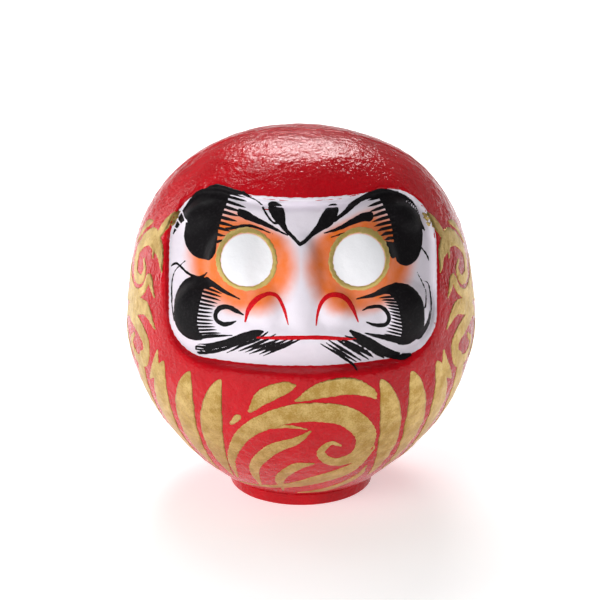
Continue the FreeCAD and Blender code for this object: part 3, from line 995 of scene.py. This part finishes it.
BROW_STROKES = {
    "right": (
        ((-38, 229, 0.8), (-47.5, 228, 3), (-55, 223.5, 7.5), (-60, 216, 9.4), (-63.5, 207.5, 10.6),
         (-65, 199, 11)),
        ((-60, 227, 1.8), (-66.5, 222.5, 3), (-73.5, 214, 2.4), (-79, 206.5, 1.6), (-83.5, 198, 0.5)),
        ((-37, 229, 1), (-29, 225, 0.6), (-24, 220, 0.6), (-20, 215, 0.6), (-17, 213, 0.6),
         (-14.5, 213, 0.6)),
        ((-17.5, 221.5, 3.8), (-14.5, 218, 4.2), (-12.5, 214, 2.6), (-10, 210, 1.4), (-6, 206.5, 1),
         (-0.5, 203, 0.9)),
        ((-39, 217, 2.1), (-35, 216, 2.4), (-29, 214, 1.8), (-21, 211.5, 1.2), (-8.5, 206.5, 0.3)),
        ((-48.5, 207.5, 0.5), (-40.5, 209.5, 0.8), (-33.5, 210.5, 0.8), (-26.5, 209.5, 0.6), (-18, 207, 0.2)),
    ),
    "left": (
        ((21.5, 214, 0.9), (28.5, 218.5, 1.3), (36, 223, 1.8), (43.5, 226, 2.6), (52, 226, 3.4),
         (60, 220, 6.2)),
        ((60, 220, 6.2), (66.5, 212, 9), (69, 203, 9.8), (69.5, 196, 9.6), (69, 192, 8.8)),
        ((54.5, 200.5, 0.5), (60, 194, 3.4)),
        ((76, 209, 1), (80.5, 200.5, 0.5)),
        ((20.5, 219.5, 3.5), (17, 215.5, 4.5), (12.5, 211.5, 2.7), (8, 208, 1.6), (4, 205.3, 1.1),
         (-0.5, 203, 0.9)),
        ((44, 214.5, 2.6), (39.5, 214.5, 2.3), (32, 212.5, 1.6), (23.5, 209.5, 1), (14.5, 207.5, 0.3)),
        ((19, 205, 0.3), (25.5, 206.5, 0.5), (31, 207.5, 0.5)),
        ((78.5, 191, 0.3), (82, 186, 0.5), (83.5, 182, 0.2)),
    ),
}
BROW_DRY = {
    "right": (
        ((-79, 212, 0.5), (-74, 208, 0.5)),
        ((-82, 207, 0.6), (-77, 203.5, 0.6)),
        ((-84, 202, 0.4), (-79, 200, 0.4)),
    ),
    "left": (),
}
BROW_COMBS = {
    "right": (
        ((-45, 227), (-51, 219.5), (-54, 212.5), (-55, 206), (-55, 200.5)),
        ((-34.5, 226), (-34.5, 220.5), (-39, 214.5), (-41.5, 209.5), (-48.5, 203)),
    ),
    "left": (
        ((53, 224), (59.5, 216.5), (61, 209.5), (61.5, 202), (61, 197)),
        ((42, 222.5), (41.5, 218), (44, 212), (48.5, 206.5), (54.5, 200)),
    ),
}
BEARD_STROKES = {
    "right": (
        ((-58.5, 175, 2.4), (-65.5, 173.5, 4), (-70.5, 168.5, 6.8), (-73.5, 160.5, 8), (-74.5, 153, 7.6)),
        ((-74.5, 153, 7.6), (-73.5, 146.5, 7.3), (-70, 142, 4.9), (-65.5, 140, 2.4)),
        ((-59.5, 176, 2.6), (-54.5, 174.5, 2), (-48.5, 171.5, 1.4), (-39, 167.5, 0.3)),
        ((-65.5, 140, 1.5), (-55.5, 142, 1.1), (-44, 144, 0.2)),
        ((-36.5, 158, 0.3), (-41.5, 160, 1.5), (-46.5, 161.7, 1.5), (-52, 160.5, 1.6),
         (-55, 156, 1.3), (-53.5, 152, 1.4),
         (-49.5, 150.5, 1.5), (-45.5, 151.5, 1.2), (-41.5, 153.5, 0.3)),
        ((-84.5, 179.5, 0.5), (-81.5, 181.5, 0.7), (-79, 181, 0.7), (-73.5, 178, 0.8), (-69.5, 177, 0.8),
         (-65.5, 177, 0.8), (-62, 179, 0.6), (-60, 181.5, 0.3)),
        ((-75, 184.5, 0.3), (-81.5, 177.5, 0.3), (-84, 170, 0.4), (-84, 160, 0.6), (-83, 153, 0.5),
         (-82, 148, 0.3)),
        ((-24, 149, 0.6), (-29, 147, 2.4), (-36.5, 143.5, 3), (-44, 139.5, 3.1), (-51, 136, 3.4),
         (-58, 133.3, 3.5),
         (-65, 131.5, 3.6)),
        ((-21, 149, 0.3), (-28, 143.5, 0.9), (-38, 138, 0.9), (-47.5, 132, 0.2)),
        ((-16, 148, 0.3), (-28, 140.5, 1.1), (-40, 134, 0.2)),
        ((-11, 146.5, 0.3), (-24, 140, 1.1), (-36.5, 133.5, 0.2)),
        ((-7, 146, 0.3), (-21, 139, 1.1), (-33, 133, 0.2)),
        ((-4, 145.5, 0.3), (-16.5, 139, 1.1), (-26.5, 133.5, 0.3)),
        ((0.5, 146, 0.3), (-12, 139.5, 1.1), (-24, 132.5, 0.2)),
    ),
    "left": (
        ((59.5, 171, 3.7), (66, 167.5, 5.9), (70.5, 160.5, 7.8), (72, 152, 7.6), (72, 144.5, 7),
         (69, 139, 5.1),
         (64, 137, 2.4)),
        ((60.5, 171.5, 3.4), (53, 171.5, 2.6), (45.5, 169.5, 1.5), (35, 168, 0.3)),
        ((79, 172, 0.2), (82.5, 169.5, 0.3), (84, 163.5, 0.5), (84.5, 157.5, 0.8), (83.5, 150.5, 1.2),
         (81, 144, 1.9),
         (76.5, 138.5, 2.8)),
        ((75, 178, 0.2), (78.5, 171, 0.3), (81, 164, 0.4), (80, 158, 0.5)),
        ((39, 160.5, 0.3), (44, 162, 1), (50.5, 161.5, 1.1), (55, 158, 1.3), (56.5, 153.5, 1.3),
         (54.5, 150, 1.3),
         (50, 149.7, 1.3), (45.5, 151, 0.9), (41.5, 153, 0.3)),
        ((64, 137.5, 2.4), (54.5, 141, 1.8), (47, 143.5, 1.1), (40.5, 146, 0.3)),
        ((31.5, 148.5, 0.8), (37, 144, 2.4), (44, 138.5, 3.3), (51.5, 133, 3.2), (59.5, 128.8, 2.4),
         (66, 127, 1.5),
         (71, 127.5, 0.6)),
        ((28, 146, 0.3), (35, 142, 1.2), (46, 133.5, 1.4), (53.5, 127.5, 0.3)),
        ((24, 145.5, 0.3), (31, 140.5, 1.2), (41, 133.5, 1.4), (46.5, 129, 0.3)),
        ((21, 145.5, 0.3), (32, 137, 1.2), (43.5, 128, 0.3)),
        ((17.5, 144.5, 0.3), (27, 136.5, 1.1), (38.5, 128, 0.3)),
        ((16, 142.5, 0.3), (25, 135, 1), (35.5, 127.5, 0.3)),
        ((12.5, 142, 0.3), (22.5, 134.5, 0.9), (31, 128, 0.8), (36, 124, 0.2)),
    ),
}
BEARD_DRY = {
    "right": (
        ((-70, 133.6, 0.5), (-61, 134.6, 0.2)),
        ((-70, 131.6, 0.4), (-63, 132, 0.15)),
        ((-70, 129.4, 0.5), (-62, 130.6, 0.2)),
        ((-57, 132.5, 0.2), (-48, 136, 0.2)),
    ),
    "left": (((64, 128.4, 0.2), (73, 128.8, 0.5)), ((40, 136.6, 0.2), (47, 131.4, 0.2))),
}
BEARD_COMBS = {
    "right": (
        ((-61.5, 172), (-66.5, 165.5), (-68.5, 158), (-68.5, 150), (-67.5, 142.5)),
        ((-49, 169.5), (-52, 163), (-56, 158.5), (-55.5, 150.5), (-50.5, 144.5)),
    ),
    "left": (
        ((60.5, 167), (64.5, 159.5), (66.5, 151), (66.5, 144.5), (65, 139.5)),
        ((48.5, 167), (54, 162), (57.5, 155), (55.5, 149), (52, 144)),
    ),
}
# Number of hairs and half the width of one, in millimetres
COMB_HAIRS = {"brow": (10, 1.2), "beard": (13, 0.85)}
MOUTH_STROKE = ((-27.5, 145, 0.8), (-10.5, 146, 1.25), (7, 146.3, 1.25), (20, 145.3, 1.2), (36.5, 142.7, 0.8))
NOSTRIL_STROKES = {
    "right": ((-35.5, 154, 0.6), (-33.5, 161.5, 1.3), (-29, 168.5, 1.4), (-23, 172.3, 1), (-18, 172.8, 1),
              (-14, 170.5, 1.1), (-10.5, 163.5, 1.1), (-8, 154, 0.3)),
    "left": ((9.5, 153.5, 0.4), (10.5, 161, 0.9), (13, 168, 1.3), (17.5, 171.7, 1.2), (23, 172.3, 1.2),
             (28.5, 169.5, 1.2), (32.5, 163.5, 1.2), (36.5, 153.5, 0.4)),
}
# Gilded ornament: curling waves on the belly, and clouds on the unrolled side with across from the front
WAVE_STROKES = (
    ((-43, 26, 0.6), (-46, 52, 3), (-34, 80, 5.5), (-6, 96, 7), (26, 94, 7.5), (42, 76, 7), (38, 57, 5.5),
     (22, 52, 4), (13, 62, 2.8), (19, 71, 1.8), (26, 68, 0.8)),
    ((-27, 20, 0.6), (-31, 44, 3.6), (-20, 64, 4.6), (-3, 74, 3), (6, 82, 0.8)),
    ((-12, 17, 0.6), (-14, 34, 3.4), (-4, 48, 3.8), (8, 52, 0.8)),
    ((-42, 18, 0.6), (-16, 22, 2.2), (10, 32, 5), (32, 42, 4.5), (47, 58, 1), (48, 64, 0.4)),
    ((-2, 14, 0.5), (20, 18, 2.4), (38, 30, 2.2), (44, 42, 0.5)),
    ((-33, 96, 1.2), (-24, 108, 5.2), (-11, 115, 4.4), (-4, 117, 1)),
    ((-3, 106, 1), (12, 113, 5.5), (30, 115, 6), (44, 109, 3.4), (48, 104, 1)),
    ((-20, 84, 0.4), (-8, 86, 1.2), (4, 84, 0.4)),
    ((-45, 84, 1.5), (-41, 90, 2.4)),
)
CLOUD_STROKES = (
    ((118, 214, 0.8), (126, 204, 4.6), (131, 192, 3.2), (128, 182, 1)),
    ((112, 176, 0.8), (122, 188, 4.4), (142, 192, 5.8), (157, 180, 5.2), (152, 165, 4), (139, 164, 3.2),
     (135, 172, 2.2), (141, 177, 1.2)),
    ((116, 158, 0.8), (126, 168, 3.4), (133, 158, 3), (148, 152, 4.4), (168, 158, 4.6), (176, 170, 1)),
    ((112, 138, 0.8), (126, 148, 4.8), (146, 144, 5.6), (166, 146, 4.4), (176, 138, 1)),
    ((172, 128, 0.8), (160, 136, 4.2), (140, 134, 5.6), (124, 126, 5.2), (126, 112, 4.4), (142, 108, 4),
     (152, 116, 3), (145, 124, 1.6)),
    ((156, 104, 0.8), (168, 112, 4.6), (174, 124, 2)),
    ((108, 124, 0.8), (112, 110, 4), (122, 100, 1)),
    ((150, 200, 0.8), (162, 194, 3.6), (168, 182, 1)),
)
# Gilded folds: angle at the top and at the foot in degrees, height of the top and half width at most
FOLDS = ((25.3, 38.3, 117, 8.6), (36.5, 49, 118, 8.9), (48, 61, 119, 8.9), (61, 74, 118, 8.5))
FOLD_FOOT = 26


# Pieces


def turned(name, profile, segments=128, waver=0.0):
    """A closed lathe shape from (radius, height) pairs that start and end on the axis."""
    work = bmesh.new()
    rings = []
    for radius, height in profile:
        ring = []
        for step in range(segments if radius > 0 else 1):
            angle = 2 * math.pi * step / segments
            spot = Vector((math.sin(angle), math.cos(angle), height / (8 * MM)))
            reach = radius * (1 + waver * noise.noise(spot * 3))
            ring.append(work.verts.new((reach * math.sin(angle), reach * math.cos(angle), height)))
        rings.append(ring)
    for low, high in zip(rings, rings[1:]):
        for step in range(segments):
            corners = [low[step % len(low)], low[(step + 1) % len(low)]]
            corners += [high[(step + 1) % len(high)], high[step % len(high)]]
            work.faces.new(list(dict.fromkeys(corners)))
    bmesh.ops.recalc_face_normals(work, faces=work.faces)
    mesh = bpy.data.meshes.new(name)
    work.to_mesh(mesh)
    work.free()
    return mesh


# Clay weight: gap round the paper in its recess, soft edges, plug set in from the foot, dome's rise
RECESS_CLEARANCE = 0.5 * MM
RECESS_LIP = 0.3 * MM
SOFT_EDGE = 1.4 * MM
PLUG_INSET = 6.8 * MM
DOME_RISE = 14 * MM


def weight_profile():
    """Foot with soft edges, recess under it, plug in the shell and the low dome inside."""
    recess, recess_top = BASE_PAPER[1].x + RECESS_CLEARANCE, BASE_PAPER[1].z
    plug, edge = FOOT_RADIUS - PLUG_INSET, SOFT_EDGE
    profile = [(0, recess_top), (recess, recess_top), (recess, RECESS_LIP), (recess + RECESS_LIP, 0)]
    for low, sign in ((0, 1), (SHELL_FOOT - edge, -1)):
        for turn in range(6):
            angle = math.pi / 10 * turn
            inset = edge * (1 - math.sin(angle)) if sign > 0 else edge * (1 - math.cos(angle))
            lift = edge * (1 - math.cos(angle)) if sign > 0 else edge * math.sin(angle)
            profile.append((FOOT_RADIUS - inset, low + lift))
    profile += [(plug, SHELL_FOOT), (plug, WEIGHT_TOP - DOME_RISE)]
    for turn in range(1, 9):
        angle = math.pi / 16 * turn
        profile.append((plug * math.cos(angle), WEIGHT_TOP - DOME_RISE * (1 - math.sin(angle))))
    profile[-1] = (0, WEIGHT_TOP)
    return profile


def make_shell():
    for node, mesh in shell_halves().items():
        declared(node, mesh, "red_lacquer", node, sharp=62)


def make_seam():
    paper = settings("paper")
    half = paper.strip_width / 2
    reach = math.radians(154) * BODY_RADIUS

    def strip(along, across):
        edge = abs(across - SEAM_Y) - half + unevenness(along / 3, across, 0.8 * MM)
        return np.maximum(edge, abs(along) - reach)

    low, high = (-reach, SEAM_Y - half - MM), (reach, SEAM_Y + half + MM)
    mesh = laid_film(
        "seam_paper", strip, low, high, paper.strip, throw=from_hoop, step=1.3 * MM, feather=2 * MM)
    declared("seam_paper", mesh, "red_lacquer", "seam_paper")


def make_weight():
    mesh = turned("base_weight", weight_profile(), waver=0.004)
    declared("base_weight", mesh, "red_lacquer", "base_weight", sharp=40)


def make_base_paper():
    low, high = BASE_PAPER[0].z, BASE_PAPER[1].z
    radius = BASE_PAPER[1].x
    steps = [radius * step / 8 for step in range(9)]
    under = [(reach, low + 0.12 * MM * (step % 2)) for step, reach in enumerate(steps)]
    over = [(reach, high) for reach in reversed(steps)]
    mesh = turned("base_paper", under + over, waver=0.006)
    declared("base_paper", mesh, "plain_paper", "base_paper", sharp=50)


def window_field(across, up):
    """The face window's outline, with its two pairs of round corners."""
    middle = (FACE_LOW.z + FACE_HIGH.z) / 2
    half_width, half_height = FACE_HIGH.x + 1.8 * MM, (FACE_HIGH.z - FACE_LOW.z) / 2
    corner = np.where(up > middle, 36.5 * MM, 23.5 * MM)
    sideways = np.abs(across - FACE_SHIFT) - half_width + corner
    upwards = np.abs(up - middle) - half_height + corner
    outside = np.hypot(np.maximum(sideways, 0), np.maximum(upwards, 0))
    return outside + np.minimum(np.maximum(sideways, upwards), 0) - corner + unevenness(across, up, 0.25 * MM)


def make_ground():
    margin = Vector((5 * MM, 0, 2 * MM))
    low, high = (FACE_LOW - margin).xz, (FACE_HIGH + margin).xz
    ground = settings("coats").ground
    mesh = laid_film("face_coat", window_field, low, high, ground, step=1.15 * MM, feather=1.5 * MM)
    declared("face_coat", mesh, "white_ground", "face_coat")


def make_inked(kind, strokes, dry, combs):
    """The brow or beard of each side: brushed lobes and lines, and a comb of hairs."""
    coats = settings("coats")
    for number, side in enumerate(SIDES):
        name = f"{kind}_{side}"
        film = painted(name, strokes[side], coats.ink, dry=dry[side], base=coats.ground, step=0.5 * MM)
        hairs = comb(name + "_hairs", *combs[side], *COMB_HAIRS[kind], seed=number + 1)
        declared(name, joined(name, [film, hairs]), "black_ink", name)


def make_eye_rims():
    """Gilded rings round the blank eyes, uneven as brushed leaf is."""
    coats = settings("coats")
    for side, sign in SIDES.items():

        def ring(across, up):
            aside = across - FACE_SHIFT - sign * EYE_CENTRE.x
            reach = np.hypot(aside, (up - EYE_CENTRE.z) / EYE_FLATTENED)
            return abs(reach - EYE_RADIUS - coats.rim) - coats.rim + unevenness(across, up, 0.45 * MM)

        name = f"eye_rim_{side}"
        centre = np.array([FACE_SHIFT + sign * EYE_CENTRE.x, EYE_CENTRE.z])
        reach = EYE_RADIUS + 2 * coats.rim + MM
        mesh = laid_film(name, ring, centre - reach, centre + reach, 1.4 * coats.leaf, base=coats.ground)
        declared(name, mesh, "gold_paint", name)


def make_red_lines():
    coats = settings("coats")
    lines = {"mouth_line": MOUTH_STROKE}
    lines |= {f"nostril_line_{side}": NOSTRIL_STROKES[side] for side in SIDES}
    for name, stroke in lines.items():
        mesh = painted(name, [stroke], coats.ink, waver=0.08 * MM, base=coats.ground, step=0.4 * MM)
        declared(name, mesh, "red_paint", name)


def make_folds():
    coats = settings("coats")
    skin, leaf = SKIN["object"], finish_for("gold_leaf")
    group = fold_tree(skin, leaf)
    for side, sign in SIDES.items():
        name = f"robe_folds_{side}"
        folds = []
        for top_angle, foot_angle, top, half_width in FOLDS:
            values = {
                "Top angle": sign * math.radians(top_angle),
                "Foot angle": sign * math.radians(foot_angle),
                "Top": top * MM,
                "Foot": FOLD_FOOT * MM,
                "Half width": half_width * MM,
                "Thickness": coats.leaf,
                "Skin": skin,
                "Finish": leaf,
            }
            folds.append(grown(name, group, bpy.data.meshes.new(name), values))
        declared(name, joined(name, folds), "gold_leaf", name)


def make_clouds():
    leaf = settings("coats").leaf
    for side, sign in SIDES.items():
        name = f"side_clouds_{side}"
        strokes = [[(sign * across, up, half) for across, up, half in marks] for marks in CLOUD_STROKES]
        mesh = painted(name, strokes, leaf, waver=0.35 * MM, throw=from_side, step=0.65 * MM)
        declared(name, mesh, "gold_leaf", name)


def make_wave():
    leaf = settings("coats").leaf
    mesh = painted("belly_wave", WAVE_STROKES, leaf, waver=0.3 * MM)
    declared("belly_wave", mesh, "gold_leaf", "belly_wave")


# Stage


def softbox(name, place, aim, size, power, mirrored=True):
    """A soft area light. One that isn't mirrored lights the doll but leaves no highlight on it."""
    light = bpy.data.lights.new(name, "AREA")
    light.shape = "RECTANGLE"
    light.size, light.size_y = size
    light.energy = power
    item = bpy.data.objects.new(name, light)
    bpy.context.scene.collection.objects.link(item)
    item.location = place
    item.rotation_euler = (Vector(aim) - Vector(place)).to_track_quat("-Z", "Y").to_euler()
    item.visible_glossy = mirrored


def make_room(glow):
    """Even white light from all round, brighter behind the doll than in front of it."""
    world = bpy.data.worlds.new("room")
    world.use_nodes = True
    room = Tree(world.node_tree)
    direction = room.node("ShaderNodeTexCoord", {}, output="Generated")
    _, back, up = room.split(direction)
    strength = glow * (1.0 + (back + 0.3 * up).ramp(0.0, 0.9, 0.0, 1.2))
    background = world.node_tree.nodes["Background"]
    background.inputs["Color"].default_value = (1.0, 1.0, 1.0, 1.0)
    room.feed(background.inputs["Strength"], strength)
    bpy.context.scene.world = world


def make_floor():
    mesh = mesh_from("floor", [(-5, -4, 0), (5, -4, 0), (5, 8, 0), (-5, 8, 0)], [(0, 1, 2, 3)])
    floor = new_object("floor", mesh)
    finish = Finish("pale_floor", Base_Color=(0.88, 0.88, 0.88, 1.0), Roughness=0.7, Specular_IOR_Level=0.1)
    across, along, _ = finish.split(finish.place)
    away = (across ** 2 + along ** 2) ** 0.5
    finish.put("Emission_Color", away.ramp(0.2, 1.5, 0.5, 1.0))
    finish.put("Emission_Strength", 1.0)
    floor.data.materials.append(finish.material)


def make_camera():
    stage = settings("stage")
    camera = bpy.data.cameras.new("camera")
    camera.lens = stage.lens
    item = bpy.data.objects.new("camera", camera)
    bpy.context.scene.collection.objects.link(item)
    out = Vector((0, -math.cos(stage.tilt), math.sin(stage.tilt)))
    item.location = Vector((0, 0, stage.target)) + stage.distance * out
    aim = Vector((-0.7 * MM, 0, stage.aim))
    item.rotation_euler = (aim - item.location).to_track_quat("-Z", "Y").to_euler()
    bpy.context.scene.camera = item


def make_lights():
    middle = (0, 0, MIDDLE)
    softbox("back_top", (0.02, 0.93, 1.02), middle, (0.7, 0.34), 10)
    softbox("overhead", (-0.34, 0.48, 1.3), middle, (0.26, 0.26), 2)
    softbox("left_back", (-0.95, 0.55, 0.42), middle, (0.3, 0.9), 2.5)
    softbox("right_back", (1.1, 0.6, 0.5), middle, (0.25, 0.8), 0.8)
    softbox("front_card", (-0.86, -1.46, 0.65), middle, (0.9, 1.1), 4.5)
    softbox("front_fill", (-1.4, -1.3, 0.75), middle, (1.1, 1.0), 19, mirrored=False)
    softbox("right_fill", (1.4, -1.1, 0.7), middle, (1.0, 1.0), 0.7, mirrored=False)
    softbox("top_fill", (-0.2, 0.1, 1.6), middle, (0.9, 0.9), 3, mirrored=False)


# Operators


class DARUMA_OT_skin(bpy.types.Operator):
    """Form the outer and inner skins of the paper shell from the frame"""

    bl_idname = "daruma.skin"
    bl_label = "Form Skin"

    def execute(self, context):
        make_skin()
        return {"FINISHED"}


class DARUMA_OT_shell(bpy.types.Operator):
    """Cut the shell into its front and back halves"""

    bl_idname = "daruma.shell"
    bl_label = "Build Shell"

    def execute(self, context):
        make_shell()
        return {"FINISHED"}


class DARUMA_OT_seam(bpy.types.Operator):
    """Paste the paper strip over the seam"""

    bl_idname = "daruma.seam"
    bl_label = "Paste Seam"

    def execute(self, context):
        make_seam()
        return {"FINISHED"}


class DARUMA_OT_weight(bpy.types.Operator):
    """Turn the clay foot with its plug, and paste the paper disc under it"""

    bl_idname = "daruma.weight"
    bl_label = "Build Weight"

    def execute(self, context):
        make_weight()
        make_base_paper()
        return {"FINISHED"}


class DARUMA_OT_ground(bpy.types.Operator):
    """Coat the face with its white ground"""

    bl_idname = "daruma.ground"
    bl_label = "Coat Face"

    def execute(self, context):
        make_ground()
        return {"FINISHED"}


class DARUMA_OT_brows(bpy.types.Operator):
    """Paint the brows with their combs of hairs"""

    bl_idname = "daruma.brows"
    bl_label = "Paint Brows"

    def execute(self, context):
        make_inked("brow", BROW_STROKES, BROW_DRY, BROW_COMBS)
        return {"FINISHED"}


class DARUMA_OT_beards(bpy.types.Operator):
    """Paint the beards and moustaches with their combs of hairs"""

    bl_idname = "daruma.beards"
    bl_label = "Paint Beards"

    def execute(self, context):
        make_inked("beard", BEARD_STROKES, BEARD_DRY, BEARD_COMBS)
        return {"FINISHED"}


class DARUMA_OT_eye_rims(bpy.types.Operator):
    """Gild the rims round the blank eyes"""

    bl_idname = "daruma.eye_rims"
    bl_label = "Gild Eye Rims"

    def execute(self, context):
        make_eye_rims()
        return {"FINISHED"}


class DARUMA_OT_red_lines(bpy.types.Operator):
    """Paint the mouth and the arches over the nostrils"""

    bl_idname = "daruma.red_lines"
    bl_label = "Paint Red Lines"

    def execute(self, context):
        make_red_lines()
        return {"FINISHED"}


class DARUMA_OT_folds(bpy.types.Operator):
    """Gild the folds of the robe"""

    bl_idname = "daruma.folds"
    bl_label = "Gild Robe Folds"

    def execute(self, context):
        make_folds()
        return {"FINISHED"}


class DARUMA_OT_ornament(bpy.types.Operator):
    """Gild the clouds on the sides and the wave on the belly"""

    bl_idname = "daruma.ornament"
    bl_label = "Gild Ornament"

    def execute(self, context):
        make_clouds()
        make_wave()
        return {"FINISHED"}


class DARUMA_OT_stage(bpy.types.Operator):
    """Set up floor, room light, softboxes and camera"""

    bl_idname = "daruma.stage"
    bl_label = "Set Stage"

    def execute(self, context):
        make_room(settings("stage").glow)
        make_floor()
        make_lights()
        make_camera()
        context.scene.view_settings.view_transform = "Standard"
        return {"FINISHED"}


OPERATORS = (
    DARUMA_OT_skin,
    DARUMA_OT_shell,
    DARUMA_OT_seam,
    DARUMA_OT_weight,
    DARUMA_OT_ground,
    DARUMA_OT_brows,
    DARUMA_OT_beards,
    DARUMA_OT_eye_rims,
    DARUMA_OT_red_lines,
    DARUMA_OT_folds,
    DARUMA_OT_ornament,
    DARUMA_OT_stage,
)


class DARUMA_PT_panel(bpy.types.Panel):
    """Lists the doll's settings and the steps that build it"""

    bl_idname = "DARUMA_PT_panel"
    bl_label = "Daruma Doll"
    bl_space_type = "VIEW_3D"
    bl_region_type = "UI"
    bl_category = "Daruma"

    def draw(self, context):
        for name, group in GROUPS.items():
            box = self.layout.box()
            for key in group.__annotations__:
                box.prop(getattr(context.scene, name), key)
        for operator in OPERATORS:
            self.layout.operator(operator.bl_idname)


def register():
    for item in (*GROUPS.values(), *OPERATORS, DARUMA_PT_panel):
        bpy.utils.register_class(item)
    for name, group in GROUPS.items():
        setattr(bpy.types.Scene, name, PointerProperty(type=group))


def unregister():
    for name in GROUPS:
        delattr(bpy.types.Scene, name)
    for item in reversed((*GROUPS.values(), *OPERATORS, DARUMA_PT_panel)):
        bpy.utils.unregister_class(item)


def main():
    register()
    for operator in OPERATORS:
        getattr(bpy.ops.daruma, operator.bl_idname.split(".")[1])()
    bpy.data.objects.remove(SKIN["object"])


if __name__ == "__main__":
    main()
